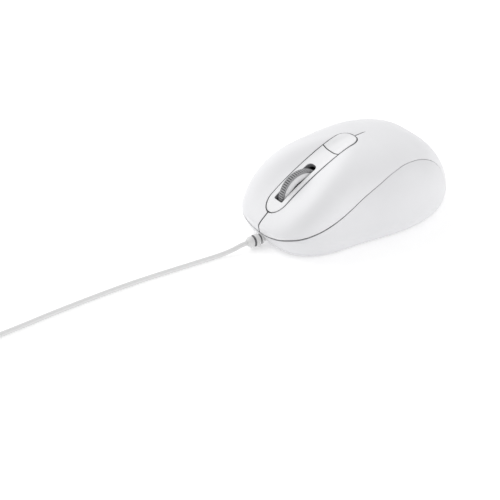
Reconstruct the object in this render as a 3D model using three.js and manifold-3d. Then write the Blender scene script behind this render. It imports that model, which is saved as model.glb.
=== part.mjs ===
// Corded computer mouse: two keys that are fingers of one arched cover, a ribbed scroll wheel
// in an oval centre island, and a small speed key behind the wheel.
// Units are millimetres. +Z is up, z = 0 is the desk, the nose and the cord point along -Y,
// and the user's left is at +X.
import * as THREE from 'three';
import { mergeVertices } from 'three/addons/utils/BufferGeometryUtils.js';
import Module from 'manifold-3d';

const wasm = await Module();
wasm.setup();

// ---------------------------------------------------------------- driving dimensions
// The body is drawn from its crown: every vertical slice through the crown is one smooth arch.
const LENGTH = 105;
const WIDTH = 66;
const HEIGHT = 42;
const CROWN_Y = 7.5;          // where the body is highest
const BASE_Z = 0.8;           // underside of the case, lifted by the glide feet
const WIDE_Z = 9.5;           // height of the widest level at the sides and tail
const NOSE_WIDE_Z = 11;       // the same at the nose
const NOSE_SQUARENESS = 3.2;  // exponent of the plan outline ahead of the crown
const TAIL_SQUARENESS = 1.9;  // and behind it
const WAIST = 0.06;           // how much the sides pull in for the fingers
const WAIST_Y = -18;
const WAIST_SPAN = 16;
const ARCH = { nose: [1.55, 1.12], side: [2.25, 3.4], tail: [3.0, 1.0] };
const CROWN_BLEND = 0.3;      // share of the plan radius over which the crown is a soft dome
const TUCK = { nose: 5, side: 5, tail: 1 };   // undercut between the widest level and the base

const WALL = 2;
const FLOOR = 2;
const KEY_GAP = 0.35;         // between the key fingers and what they pass
const SEAM_GAP = 0.3;         // between cover and case behind the keys
const SEAM_GAP_NOSE = 0.75;   // and under the key tips, which travel
const TONGUE = 1.1;           // height of the case's tongue inside the cover
const TONGUE_INSET = 1.4;
const TONGUE_GAP = 0.5;       // between the tongue and the cover's rebate, for the keys' swing
const HINGE_Y = 8;            // line where the key fingers flex

// The seam between cover and case: outline angle in degrees (-90 nose, 0 side, 90 tail), height.
// It climbs along the side, rounds over below the palm and drops down the back, so the cover
// ends in a tail between two raised side walls.
const SEAM = [
  [-90, 6.2], [-78, 8.2], [-64, 10.2], [-52, 11.8], [-40, 14.4], [-30, 17.4], [-21, 21.2],
  [-13, 25.8], [-6, 29.8], [1, 33], [8, 34.4], [18, 34.3], [27, 33.2], [36, 30.2], [42, 26.6],
  [46, 21.8], [49, 15], [53, 9.5], [60, 6.2], [90, 5],
];

const ISLAND = {
  half: 5.8, front: -46.7, rear: 1.4, split: -12, proud: 0.35, gap: 0.45, lowest: 12,
};
const SLOT = { half: 2.95, front: -41.5, rear: -21.4 };
const WHEEL = { y: -28.4, z: 20.2, radius: 12, tyre: 3.4, ribs: 36, core: 10.4, axle: 1.2 };
const BOARD = { bottom: 7.2, thick: 1.6, half: 18.6, front: -45, rear: 27 };
const BOARD_TOP = BOARD.bottom + BOARD.thick;
const KEY_SWITCH = { x: 15, y: -30, wide: 5.8, long: 12.8, tall: 6.5 };
const TACT = { side: 6, tall: 4.3, button: 1.7 };
const MIDDLE = { x: 8.8, y: -22 };
const SPEED = { x: 0, y: -3.5 };
const CARRIAGE = { pivotY: -9.4, pivotZ: 15.4, arm: 1.5, gap: 4.4 };
const SENSOR_Y = 12;
const POST_Y = 33;            // the screw post behind the board
const SKIM = 0.05;            // running gap between two pieces that rest on each other

const CORD = 2.4;             // cord diameter
const BOOT = { y: -46.4, z: 3.3 };
const COIL = { x: -14, y: -221.5, inner: 8.7, outer: 18.3, tall: 9.6 };
const PLUG = { x: -34, y: -238.6, z: 4.1 };

// ---------------------------------------------------------------- finishes
const finish = (color, roughness, metalness = 0) =>
  new THREE.MeshStandardMaterial({ color, roughness, metalness });
const PAINT = {
  shell: finish(0xe2e2e0, 0.42),
  case: finish(0xe8e8e6, 0.45),
  island: finish(0xf2f2f0, 0.25),
  tyre: finish(0x77787a, 0.8),
  inner: finish(0xd4d4d0, 0.6),
  board: finish(0x2f6b3c, 0.5),
  black: finish(0x1c1c1e, 0.5),
  clear: finish(0xdfe8ee, 0.1),
  lamp: finish(0xc8504a, 0.2),
  steel: finish(0xb8babc, 0.3, 0.9),
  glide: finish(0xdededc, 0.5),
  label: finish(0xc9cacb, 0.5),
  cord: finish(0xd8d8d6, 0.55),
};

const part = new THREE.Group();

function place(name, geometry, material, position = [0, 0, 0], rotation = [0, 0, 0]) {
  const mesh = new THREE.Mesh(geometry, material);
  mesh.name = name;
  mesh.position.set(...position);
  mesh.rotation.set(...rotation);
  part.add(mesh);
}

// ---------------------------------------------------------------- solids: joining and cutting
// Turns a closed geometry's faces outwards if its enclosed volume comes out negative.
function outward(geometry) {
  const position = geometry.attributes.position;
  const corner = (i) => new THREE.Vector3().fromBufferAttribute(position, geometry.index.getX(i));
  let volume = 0;
  for (let i = 0; i < geometry.index.count; i += 3) {
    volume += corner(i).dot(corner(i + 1).cross(corner(i + 2)));
  }
  if (volume < 0) geometry.index.array.reverse();
  return geometry;
}

// A profile of [radius, height] turned about Z.
function turned(profile, segments) {
  const points = profile.map(([radius, height]) => new THREE.Vector2(radius, height));
  return outward(new THREE.LatheGeometry(points, segments)).rotateX(Math.PI / 2);
}

function solid(geometry) {
  const bare = geometry.clone();
  bare.deleteAttribute('normal');
  bare.deleteAttribute('uv');
  const welded = mergeVertices(bare, 1e-4);
  return new wasm.Manifold(new wasm.Mesh({
    numProp: 3,
    vertProperties: new Float32Array(welded.attributes.position.array),
    triVerts: new Uint32Array(welded.index.array),
  }));
}

function geometryOf(manifold) {
  const mesh = manifold.getMesh();
  const geometry = new THREE.BufferGeometry();
  geometry.setAttribute('position', new THREE.BufferAttribute(mesh.vertProperties.slice(), 3));
  geometry.setIndex(new THREE.BufferAttribute(mesh.triVerts.slice(), 1));
  return geometry;
}

const box = (x0, x1, y0, y1, z0, z1) =>
  new THREE.BoxGeometry(x1 - x0, y1 - y0, z1 - z0)
    .translate((x0 + x1) / 2, (y0 + y1) / 2, (z0 + z1) / 2);

// A rod whose axis is Z, X or Y, between two places on that axis.
function rod(axis, radius, from, to, [a, b], sides = 16) {
  const geometry = new THREE.CylinderGeometry(radius, radius, to - from, sides);
  const middle = (from + to) / 2;
  if (axis === 'z') return geometry.rotateX(Math.PI / 2).translate(a, b, middle);
  if (axis === 'x') return geometry.rotateZ(Math.PI / 2).translate(middle, a, b);
  return geometry.translate(a, middle, b);
}

// A flat outline raised from z0 to z1.
function prism(shape, z0, z1, curveSegments = 4) {
  return new THREE.ExtrudeGeometry(shape, { depth: z1 - z0, bevelEnabled: false, curveSegments })
    .translate(0, 0, z0);
}

function roundedRect(x0, x1, y0, y1, r) {
  const shape = new THREE.Shape();
  shape.moveTo(x0 + r, y0);
  shape.lineTo(x1 - r, y0);
  shape.absarc(x1 - r, y0 + r, r, -Math.PI / 2, 0);
  shape.lineTo(x1, y1 - r);
  shape.absarc(x1 - r, y1 - r, r, 0, Math.PI / 2);
  shape.lineTo(x0 + r, y1);
  shape.absarc(x0 + r, y1 - r, r, Math.PI / 2, Math.PI);
  shape.lineTo(x0, y0 + r);
  shape.absarc(x0 + r, y0 + r, r, Math.PI, 1.5 * Math.PI);
  return shape;
}

// ---------------------------------------------------------------- the body's form
const radians = THREE.MathUtils.degToRad;
const mix = THREE.MathUtils.lerp;
const power = (value, exponent) => Math.sign(value) * Math.abs(value) ** exponent;

// A value that differs at nose, side and tail, blended round the outline.
function around(angle, { nose, side, tail }) {
  const lengthwise = Math.sin(angle) ** 2;
  return mix(side, Math.sin(angle) < 0 ? nose : tail, lengthwise);
}

function planPoint(angle, inset) {
  const ahead = Math.sin(angle) < 0;
  const squareness = ahead ? NOSE_SQUARENESS : TAIL_SQUARENESS;
  const reach = LENGTH / 2 + (ahead ? CROWN_Y : -CROWN_Y) - inset;
  const y = CROWN_Y + power(Math.sin(angle), 2 / squareness) * reach;
  const waist = 1 - WAIST * Math.exp(-(((y - WAIST_Y) / WAIST_SPAN) ** 2));
  return [power(Math.cos(angle), 2 / squareness) * (WIDTH / 2 - inset) * waist, y];
}

function arch(angle, inset) {
  const pick = (i) => around(angle, { nose: ARCH.nose[i], side: ARCH.side[i], tail: ARCH.tail[i] });
  return {
    across: pick(0),
    up: pick(1),
    wide: around(angle, { nose: NOSE_WIDE_Z, side: WIDE_Z, tail: WIDE_Z }),
    crown: HEIGHT - inset,
    base: BASE_Z + (inset > 0 ? FLOOR : 0),
  };
}

// Share of the arch's drop at a share of its reach: a power curve with a soft dome on top.
function drop(reach, exponent) {
  if (reach > CROWN_BLEND) return reach ** exponent;
  const s = (reach / CROWN_BLEND) ** 2;
  return CROWN_BLEND ** exponent * (((4 - exponent) / 2) * s + ((exponent - 2) / 2) * s * s);
}

// A point of the skin. rise is -1 at the base edge, 0 at the widest level and 1 at the crown.
function skin(angle, rise, inset = 0) {
  const [x, y] = planPoint(angle, inset);
  const { across, up, wide, crown, base } = arch(angle, inset);
  const radius = Math.hypot(x, y - CROWN_Y);
  let reach = 1 - (around(angle, TUCK) / radius) * rise * rise;
  let z = wide + (wide - base) * rise;
  if (rise >= 0) {
    reach = Math.max(Math.cos((rise * Math.PI) / 2), 0) ** (2 / across);
    z = wide + (crown - wide) * (1 - drop(reach, across)) ** (1 / up);
  }
  return [x * reach, CROWN_Y + (y - CROWN_Y) * reach, z];
}

// The rise at which the skin reaches a height.
function riseAt(angle, z, inset = 0) {
  const { up, wide, crown, base } = arch(angle, inset);
  if (z < wide) return (z - wide) / (wide - base);
  const share = (z - wide) / (crown - wide);
  return Math.acos(Math.sqrt(1 - share ** up)) / (Math.PI / 2);
}

// Height of the seam at an outline angle: a smooth curve through SEAM, the same on both sides.
function seamHeight(angle) {
  const degrees = THREE.MathUtils.radToDeg(Math.asin(Math.sin(angle)));
  const last = SEAM.length - 1;
  const i = Math.min(Math.max(SEAM.findIndex(([a]) => a > degrees), 1), last) - 1;
  const k = degrees >= SEAM[last][0] ? last - 1 : i;
  const slope = (j) => {
    if (j === 0 || j === last) return 0;
    return (SEAM[j + 1][1] - SEAM[j - 1][1]) / (SEAM[j + 1][0] - SEAM[j - 1][0]);
  };
  const [a0, z0] = SEAM[k];
  const [a1, z1] = SEAM[k + 1];
  const span = a1 - a0;
  const t = (degrees - a0) / span;
  const bend0 = slope(k) * span;
  const bend1 = slope(k + 1) * span;
  return z0 + t * (bend0 + t * (3 * (z1 - z0) - 2 * bend0 - bend1
    + t * (2 * (z0 - z1) + bend0 + bend1)));
}

// Wide under the key tips, narrow behind the keys.
function seamGap(angle) {
  return mix(SEAM_GAP, SEAM_GAP_NOSE, Math.max(-Math.sin(angle), 0));
}

// Outline angles: even, with extra ones where the seam drops down the back.
function outlineAngles() {
  const quarter = [];
  for (let d = -90; d < 90; d += d >= 36 && d < 54 ? 3 : 9) quarter.push(d);
  const mirrored = quarter.map((d) => 180 - d);
  return [...quarter, 90, ...mirrored.reverse().filter((d) => d < 270)].map(radians);
}

// A closed solid swept round the crown's axis: each outline angle gives one section, which
// starts and ends on the axis.
function loft(sectionAt) {
  const sections = outlineAngles().map(sectionAt);
  const rows = sections[0].length;
  const points = [sections[0][0], sections[0][rows - 1]];
  sections.forEach((section) => points.push(...section.slice(1, -1)));
  const count = sections.length;
  const at = (column, row) => {
    if (row === 0) return 0;
    if (row === rows - 1) return 1;
    return 2 + (column % count) * (rows - 2) + row - 1;
  };
  const index = [];
  for (let column = 0; column < count; column += 1) {
    for (let row = 0; row < rows - 1; row += 1) {
      const [a, b] = [at(column, row), at(column, row + 1)];
      const [c, d] = [at(column + 1, row + 1), at(column + 1, row)];
      if (row < rows - 2) index.push(a, b, c);
      if (row > 0) index.push(a, c, d);
    }
  }
  const geometry = new THREE.BufferGeometry();
  geometry.setAttribute('position', new THREE.Float32BufferAttribute(points.flat(), 3));
  geometry.setIndex(index);
  return outward(geometry);
}

const steps = (count) => Array.from({ length: count + 1 }, (_, i) => i / count);

// Section of the arched cover: over the outside from the crown to the seam, round the rebate
// that takes the case's tongue, and back up the inside.
function coverSection(angle) {
  const edge = seamHeight(angle) + seamGap(angle);
  const rebate = edge + TONGUE + 0.2;
  const rise = (z, inset) => riseAt(angle, z, inset);
  const from = rise(edge, 0);
  const inner = rise(rebate, WALL);
  return [
    ...steps(8).map((t) => skin(angle, mix(1, from, t))),
    skin(angle, rise(edge, TONGUE_INSET - TONGUE_GAP), TONGUE_INSET - TONGUE_GAP),
    skin(angle, rise(rebate, TONGUE_INSET - TONGUE_GAP), TONGUE_INSET - TONGUE_GAP),
    ...steps(5).map((t) => skin(angle, mix(inner, 1, t), WALL)),
  ];
}

// Section of the case: over the base, up the outside to the seam, round the tongue and down
// the inside to the floor.
function caseSection(angle) {
  const edge = seamHeight(angle);
  const rise = (z, inset) => riseAt(angle, z, inset);
  const top = rise(edge, 0);
  const inner = rise(edge + TONGUE, WALL);
  return [
    [0, CROWN_Y, BASE_Z],
    ...steps(5).map((t) => skin(angle, mix(-1, top, t))),
    skin(angle, rise(edge, TONGUE_INSET), TONGUE_INSET),
    skin(angle, rise(edge + TONGUE, TONGUE_INSET), TONGUE_INSET),
    ...steps(3).map((t) => skin(angle, mix(inner, -1, t), WALL)),
    [0, CROWN_Y, BASE_Z + FLOOR],
  ];
}

// The whole body as one closed form, drawn in by an inset: trims posts and ribs to the skin.
function core(inset) {
  return solid(loft((angle) => [
    [0, CROWN_Y, BASE_Z + (inset > 0 ? FLOOR : 0)],
    ...steps(9).map((t) => skin(angle, mix(-1, 1, t), inset)),
  ]));
}

// ---------------------------------------------------------------- cover, keys and island
// Plan outline of the island, grown by a margin, between two places along Y.
function islandOutline(margin) {
  const r = ISLAND.half + margin;
  return roundedRect(-r, r, ISLAND.front - margin, ISLAND.rear + margin, r - 0.01);
}

const cover = solid(loft(coverSection))
  .subtract(solid(prism(islandOutline(ISLAND.gap), 0, HEIGHT + 1, 6)));
const inside = core(WALL / 2);

function screwPost() {
  const tube = solid(rod('z', 3.2, 14.4, HEIGHT, [0, POST_Y]))
    .add(solid(box(-0.6, 0.6, POST_Y - 8, POST_Y + 8, 26, HEIGHT)))
    .add(solid(box(-8, 8, POST_Y - 0.6, POST_Y + 0.6, 26, HEIGHT)));
  return tube.intersect(inside).subtract(solid(rod('z', 1, 14, 26, [0, POST_Y], 12)));
}

function topCover() {
  const palm = solid(box(-WIDTH, WIDTH, HINGE_Y + KEY_GAP / 2, LENGTH, 0, HEIGHT + 1));
  return geometryOf(cover.intersect(palm).add(screwPost()));
}

// One key: a finger of the cover, with the ribbed leg that reaches down to its switch.
function key(side) {
  const near = side * (KEY_GAP / 2);
  const far = side * WIDTH;
  const zone = solid(box(Math.min(near, far), Math.max(near, far), -LENGTH,
    HINGE_Y - KEY_GAP / 2, 0, HEIGHT + 1));
  const x = side * KEY_SWITCH.x;
  const y = KEY_SWITCH.y - 3;
  const foot = BOARD_TOP + KEY_SWITCH.tall + 0.9;
  const leg = solid(box(x - 2, x + 2, y - 0.7, y + 0.7, foot, HEIGHT))
    .add(solid(box(x - 0.7, x + 0.7, y - 2.6, y + 2.6, foot + 2.5, HEIGHT)));
  const longRib = solid(box(side * 21 - 0.6, side * 21 + 0.6, -38, -4, 20, HEIGHT));
  const limit = core(WALL + 2).intersect(longRib);
  const rib = longRib.intersect(inside).subtract(limit);
  return geometryOf(cover.intersect(zone).add(leg.intersect(inside)).add(rib));
}

// The island stands a little proud of the cover and has a skirt all round.
function islandShell() {
  const block = solid(prism(islandOutline(0), ISLAND.lowest, HEIGHT + 1, 6));
  const hollow = solid(prism(islandOutline(-1.4), 0, HEIGHT + 1, 4));
  const top = core(-ISLAND.proud).subtract(core(1.6));
  const skirt = core(-ISLAND.proud).subtract(core(5)).intersect(block).subtract(hollow);
  return top.intersect(block).add(skirt);
}

const island = islandShell();

function wheelBezel() {
  const zone = solid(box(-9, 9, -LENGTH, ISLAND.split - 0.15, 0, HEIGHT + 2));
  const slot = roundedRect(-SLOT.half, SLOT.half, SLOT.front, SLOT.rear, 1.2);
  const bezel = island.intersect(zone).subtract(solid(prism(slot, 0, HEIGHT + 2)));
  return geometryOf(bezel);
}

function speedKey() {
  const zone = solid(box(-9, 9, ISLAND.split + 0.15, LENGTH, 0, HEIGHT + 2));
  const foot = BOARD_TOP + TACT.tall + TACT.button + 2 * SKIM;
  const stem = solid(box(-1.5, 1.5, SPEED.y - 0.6, SPEED.y + 0.6, foot, HEIGHT))
    .add(solid(box(-0.6, 0.6, SPEED.y - 1.5, SPEED.y + 1.5, foot, HEIGHT)));
  return geometryOf(island.intersect(zone).add(stem.intersect(core(0.5))));
}

// ---------------------------------------------------------------- lower case
function lowerCase() {
  const boss = solid(rod('z', 3.2, BASE_Z, 14, [0, POST_Y]));
  const posts = [-1, 1].flatMap((side) => [
    solid(rod('z', 2.4, BASE_Z, BOARD.bottom - SKIM, [side * 14, 22])),
    solid(rod('z', 2.4, BASE_Z, BOARD.bottom - SKIM, [side * 15, -16])),
    solid(box(side * 9.2 - 0.9, side * 9.2 + 0.9, CARRIAGE.pivotY - 2.4, CARRIAGE.pivotY + 2.4,
      BASE_Z + 1, CARRIAGE.pivotZ + 2.6)),
    solid(box(side * 24 - 0.6, side * 24 + 0.6, -26, 18, BASE_Z + 1, BASE_Z + 5)),
  ]);
  const block = posts.reduce((all, one) => all.add(one), solid(loft(caseSection)).add(boss));
  const cuts = [
    solid(rod('z', 1.35, -1, 16, [0, POST_Y], 14)),
    solid(rod('z', 2.9, -1, 5, [0, POST_Y])),
    solid(prism(roundedRect(-4.2, 4.2, SENSOR_Y - 6.5, SENSOR_Y + 4, 2), -1, 4)),
    solid(rod('x', 1.35, -20, 20, [CARRIAGE.pivotY, CARRIAGE.pivotZ], 14)),
    solid(rod('y', 1.95, -LENGTH, -40, [0, BOOT.z])),
    solid(rod('y', 2.35, -LENGTH, -50.3, [0, BOOT.z])),
    solid(rod('y', 2.25, BOOT.y - 1.15, BOOT.y + 3, [0, BOOT.z])),
    ...[-1, 1].flatMap((side) => [[14, 22], [15, -16]].map(([x, y]) =>
      solid(rod('z', 0.8, 3.2, BOARD_TOP, [side * x, y], 10)))),
  ];
  return geometryOf(cuts.reduce((all, cut) => all.subtract(cut), block));
}

// ---------------------------------------------------------------- wheel
// Ribbed rubber tyre: a gear-like outline with a round bore, its shoulders bevelled.
function wheelTyre() {
  const shape = new THREE.Shape();
  const pitch = (2 * Math.PI) / WHEEL.ribs;
  const crest = WHEEL.radius - 0.35;
  const at = (radius, angle) => [radius * Math.cos(angle), radius * Math.sin(angle)];
  for (let rib = 0; rib < WHEEL.ribs; rib += 1) {
    const angle = rib * pitch;
    if (rib === 0) shape.moveTo(...at(crest, angle));
    else shape.lineTo(...at(crest, angle));
    shape.lineTo(...at(crest, angle + 0.55 * pitch));
    shape.lineTo(...at(crest - 0.4, angle + 0.78 * pitch));
  }
  const bore = new THREE.Path();
  bore.absarc(0, 0, WHEEL.core + 0.5, 0, 2 * Math.PI, true);
  shape.holes.push(bore);
  const bevel = 0.35;
  return new THREE.ExtrudeGeometry(shape, {
    depth: WHEEL.tyre - 2 * bevel,
    bevelThickness: bevel,
    bevelSize: bevel,
    bevelSegments: 1,
    curveSegments: 28,
  }).translate(0, 0, -WHEEL.tyre / 2 + bevel);
}

// White hub: sloping flanks that stand wider than the tyre, a thin web with slots for the
// light beam that counts its turns, and an axle in one piece with it.
function wheelHub() {
  const flank = 2.45;
  const rim = WHEEL.core;
  const lip = WHEEL.tyre / 2 + 0.1;
  const half = [
    [0, 6.2], [WHEEL.axle, 6.2], [WHEEL.axle, 2.6], [3, 2.6], [3.6, 0.9], [8, 0.9],
    [8.4, flank], [9.6, flank], [rim + 0.6, lip], [rim, lip],
  ];
  const profile = [...half, ...half.map(([r, x]) => [r, -x]).reverse()];
  const body = turned(profile, 28);
  const slots = steps(10).slice(1).map((turn) =>
    solid(box(4.4, 7.4, -0.8, 0.8, -3, 3).rotateZ(2 * Math.PI * turn)));
  return geometryOf(slots.reduce((all, slot) => all.subtract(slot), solid(body)));
}

// The rocker that carries the wheel: two arms from a pivot behind it, open seats for the axle,
// and a tab that presses the middle switch.
function wheelCarriage() {
  const { pivotY, pivotZ, arm, gap } = CARRIAGE;
  const armAt = (side) => {
    const shape = new THREE.Shape();
    shape.moveTo(pivotY + 2, pivotZ - 1.5);
    shape.absarc(pivotY, pivotZ, 2.2, 0, Math.PI / 2);
    shape.lineTo(WHEEL.y + 3.4, WHEEL.z + 2.4);
    shape.lineTo(WHEEL.y + WHEEL.axle + 0.15, WHEEL.z + 2.4);
    shape.lineTo(WHEEL.y + WHEEL.axle + 0.15, WHEEL.z);
    shape.absarc(WHEEL.y, WHEEL.z, WHEEL.axle + 0.15, 0, Math.PI, true);
    shape.lineTo(WHEEL.y - WHEEL.axle - 0.15, WHEEL.z + 2.4);
    shape.lineTo(WHEEL.y - 3, WHEEL.z + 2.4);
    shape.absarc(WHEEL.y, WHEEL.z, 3.2, Math.PI, 1.5 * Math.PI);
    const plateShape = new THREE.ExtrudeGeometry(shape, {
      depth: arm, bevelEnabled: false, curveSegments: 6,
    });
    plateShape.rotateY(Math.PI / 2).rotateX(Math.PI / 2);
    return solid(plateShape.translate(side > 0 ? gap : -gap - arm, 0, 0));
  };
  const tabFoot = BOARD_TOP + TACT.tall + TACT.button + 2 * SKIM;
  const pieces = [
    armAt(-1),
    solid(rod('x', 1.2, -10, 10, [pivotY, pivotZ])),
    solid(box(gap + 0.2, MIDDLE.x + 1.4, MIDDLE.y - 1.4, MIDDLE.y + 1.4, tabFoot, tabFoot + 1.8)),
    solid(box(gap + 0.2, gap + arm, MIDDLE.y - 1.4, MIDDLE.y + 1.4, tabFoot, 17.5)),
  ];
  return geometryOf(pieces.reduce((all, one) => all.add(one), armAt(1)));
}

// ---------------------------------------------------------------- board and what is on it
function circuitBoard() {
  const { half, front, rear } = BOARD;
  const shape = new THREE.Shape();
  shape.moveTo(-half + 5, front);
  shape.lineTo(half - 5, front);
  shape.lineTo(half, front + 8);
  shape.lineTo(half, -4);
  shape.lineTo(half + 2, 2);
  shape.lineTo(half + 2, rear - 5);
  shape.lineTo(half - 3, rear);
  shape.lineTo(-half + 3, rear);
  shape.lineTo(-half - 2, rear - 5);
  shape.lineTo(-half - 2, 2);
  shape.lineTo(-half, -4);
  shape.lineTo(-half, front + 8);
  const holes = [
    roundedRect(-3.6, 3.6, -42, -15, 1),
    roundedRect(-4, 4, SENSOR_Y - 3, SENSOR_Y + 3, 1),
    ...[-9.2, 9.2].map((x) =>
      roundedRect(x - 1.3, x + 1.3, CARRIAGE.pivotY - 2.8, CARRIAGE.pivotY + 2.8, 0.4)),
  ];
  [[14, 22], [15, -16]].forEach(([x, y]) => [-1, 1].forEach((side) => {
    const hole = new THREE.Path();
    hole.absarc(side * x, y, 1.1, 0, 2 * Math.PI);
    holes.push(hole);
  }));
  shape.holes.push(...holes);
  return prism(shape, BOARD.bottom, BOARD_TOP, 3);
}

// Snap-action switch under a key: a stepped case with a small plunger on top.
function keySwitchCase() {
  const { wide, long, tall } = KEY_SWITCH;
  const block = solid(box(-wide / 2, wide / 2, -long / 2, long / 2, SKIM, tall))
    .subtract(solid(box(-wide, wide, -long, -long / 2 + 0.5, tall * 0.6, tall + 1)))
    .subtract(solid(box(-wide, wide, long / 2 - 0.5, long, tall * 0.6, tall + 1)))
    .subtract(solid(box(-1.4, 1.4, -3.9, -2.1, tall - 1.6, tall + 1)));
  return geometryOf(block);
}

const keySwitchPlunger = () => box(-1.1, 1.1, -3.6, -2.4, -1, 0.8);

function tactCase() {
  const { side, tall } = TACT;
  const block = solid(box(-side / 2, side / 2, -side / 2, side / 2, SKIM, tall))
    .subtract(solid(rod('z', 1.9, tall - 1.6, tall + 1, [0, 0])));
  return geometryOf(block);
}

const tactPlunger = () => rod('z', 1.6, -1, TACT.button, [0, 0]);

// Reflow-soldered chip with gull legs along its two long sides.
function legChip(wide, long, tall, legs) {
  const pieces = [solid(box(-wide / 2, wide / 2, -long / 2, long / 2, 0.5, tall))];
  for (let i = 0; i < legs; i += 1) {
    const y = ((i + 0.5) / legs - 0.5) * long * 0.94;
    pieces.push(solid(box(-wide / 2 - 1.4, wide / 2 + 1.4, y - 0.25, y + 0.25, SKIM, 0.9)));
  }
  return geometryOf(pieces.reduce((all, one) => all.add(one)));
}

// Clear moulding under the sensor: a plate, a lens and a light guide towards the lamp.
function sensorLens() {
  const plateSolid = solid(prism(roundedRect(-9, 9, SENSOR_Y - 8, SENSOR_Y + 8, 2), 4.6, 6, 3))
    .add(solid(rod('z', 2.6, 3.2, 6.9, [0, SENSOR_Y], 18)))
    .add(solid(box(-2.2, 2.2, SENSOR_Y + 3, SENSOR_Y + 7.5, 3.4, 5)));
  return geometryOf(plateSolid);
}

// Five-millimetre lamp lying on the board: a domed bulb with a rim.
function lamp() {
  const profile = [[0, 0], [2.9, 0], [2.9, 1], [2.5, 1], [2.5, 5.4], [2.2, 6.8], [1.3, 7.8], [0, 8.2]];
  return turned(profile, 14).rotateX(-Math.PI / 2);
}

// Clip that holds the lamp: an arched cover, open at the front for the light.
function lampClip() {
  const block = solid(box(-4.6, 4.6, 18.2, 26.9, BOARD_TOP + SKIM, BOARD_TOP + 7.4))
    .subtract(solid(rod('y', 3.15, 10, 26.3, [0, BOARD_TOP + 3.3], 20)))
    .subtract(solid(box(-3.15, 3.15, 10, 26.3, BOARD_TOP - 1, BOARD_TOP + 3.3)));
  return geometryOf(block);
}

function smallCan(radius, tall) {
  return turned([[0, SKIM], [radius, SKIM], [radius, tall - 0.4], [radius - 0.4, tall],
    [0, tall]], 18);
}

// Pan-head screw with its head down and a cross in it.
function screw(length, radius, head) {
  const shank = solid(rod('z', radius, 0.4, length, [0, 0], 12));
  const cap = solid(rod('z', head, -1.2, 0.5, [0, 0], 14));
  const cross = solid(box(-head * 0.6, head * 0.6, -0.3, 0.3, -2, -0.4))
    .add(solid(box(-0.3, 0.3, -head * 0.6, head * 0.6, -2, -0.4)));
  return geometryOf(shank.add(cap).subtract(cross));
}

// ---------------------------------------------------------------- underside
// Curved glide foot: a strip of a ring, with round ends.
function glideFoot(radius, wide, from, to) {
  const shape = new THREE.Shape();
  const [a, b] = [radians(from), radians(to)];
  const end = (angle) => [radius * Math.cos(angle), radius * Math.sin(angle)];
  shape.absarc(0, 0, radius + wide / 2, a, b);
  shape.absarc(...end(b), wide / 2, b, b + Math.PI);
  shape.absarc(0, 0, radius - wide / 2, b, a, true);
  shape.absarc(...end(a), wide / 2, a + Math.PI, a + 2 * Math.PI);
  return prism(shape, 0, BASE_Z - SKIM, 6);
}

// ---------------------------------------------------------------- cord
// Ribbed boot: a flange inside the nose wall, a neck through it and three rings outside.
function boot() {
  const profile = [
    [0, 0], [2.1, 0], [2.1, 1], [1.8, 1], [1.8, 4], [2.15, 4.2], [2.15, 5.2], [1.7, 5.4],
    [1.7, 5.9], [2.6, 6.1], [2.6, 8.6], [1.7, 8.8], [1.7, 9.3], [2.35, 9.5], [2.35, 10.9],
    [1.9, 11.9], [1.25, 12.6], [0, 12.6],
  ];
  return turned(profile, 14).rotateX(Math.PI / 2);
}

// The cord lies on the desk from the boot to the coil.
const ROUTE = [
  [0, -59.3, 3.3], [0, -62, 3.15], [-0.2, -66, 2.2], [-0.5, -71, 1.5], [-0.8, -77, 1.25],
  [-1.1, -84, 1.2], [-1.6, -97, 1.2], [-2, -110, 1.2], [-2, -123, 1.2], [-1.5, -136, 1.2],
  [-0.7, -149, 1.2], [0.3, -162, 1.2], [1.6, -175, 1.2], [2.6, -187, 1.2], [3.1, -200, 1.2],
  [3.1, -212, 1.2],
];
const TAIL = [[-23.4, -238.6, 8.3], [-25.4, -238.6, 7.6], [-28, -238.6, 6.2], [-30.8, -238.6, 4.7],
  [-33.7, -238.6, 4.1]];

function tube(points) {
  const path = new THREE.CatmullRomCurve3(points.map((p) => new THREE.Vector3(...p)));
  const section = new THREE.Shape();
  const corner = (i) => [
    (CORD / 2) * Math.cos((i * Math.PI) / 4), (CORD / 2) * Math.sin((i * Math.PI) / 4)];
  section.moveTo(...corner(0));
  for (let i = 1; i < 8; i += 1) section.lineTo(...corner(i));
  return new THREE.ExtrudeGeometry(section, {
    steps: Math.max(Math.round(path.getLength() / (3 * CORD)), 4), extrudePath: path,
  });
}

// Outer shape of the stowed coil.
function coil() {
  const { inner, outer, tall } = COIL;
  const soft = CORD / 2;
  const profile = [
    [inner + soft, 0.02], [outer - soft, 0.02], [outer, soft], [outer, tall - soft],
    [outer - soft, tall], [inner + soft, tall], [inner, tall - soft], [inner, soft],
    [inner + soft, 0.02],
  ];
  return turned(profile, 24);
}

// Plug pieces lie along -X from the end of the cord.
function plugRelief() {
  const profile = [
    [0, 0], [1.7, 0], [1.9, 1.6], [1.5, 1.8], [1.5, 2.3], [2.2, 2.5], [2.2, 4.2], [1.6, 4.4],
    [1.6, 4.9], [2.5, 5.1], [2.5, 7], [1.8, 7.2], [1.8, 7.7], [2.8, 7.9], [2.8, 10], [0, 10],
  ];
  return turned(profile, 12).rotateY(-Math.PI / 2);
}

function plugGrip() {
  const grip = new THREE.Shape();
  grip.moveTo(0, -4.2);
  grip.quadraticCurveTo(-3, -8, -6, -8);
  grip.lineTo(-20, -8);
  grip.quadraticCurveTo(-22, -8, -22, -6);
  grip.lineTo(-22, 6);
  grip.quadraticCurveTo(-22, 8, -20, 8);
  grip.lineTo(-6, 8);
  grip.quadraticCurveTo(-3, 8, 0, 4.2);
  return new THREE.ExtrudeGeometry(grip, {
    depth: 6.4, bevelThickness: 0.8, bevelSize: 0.8, bevelOffset: -0.8, bevelSegments: 2,
    curveSegments: 6,
  }).translate(0, 0, -3.2);
}

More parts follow.
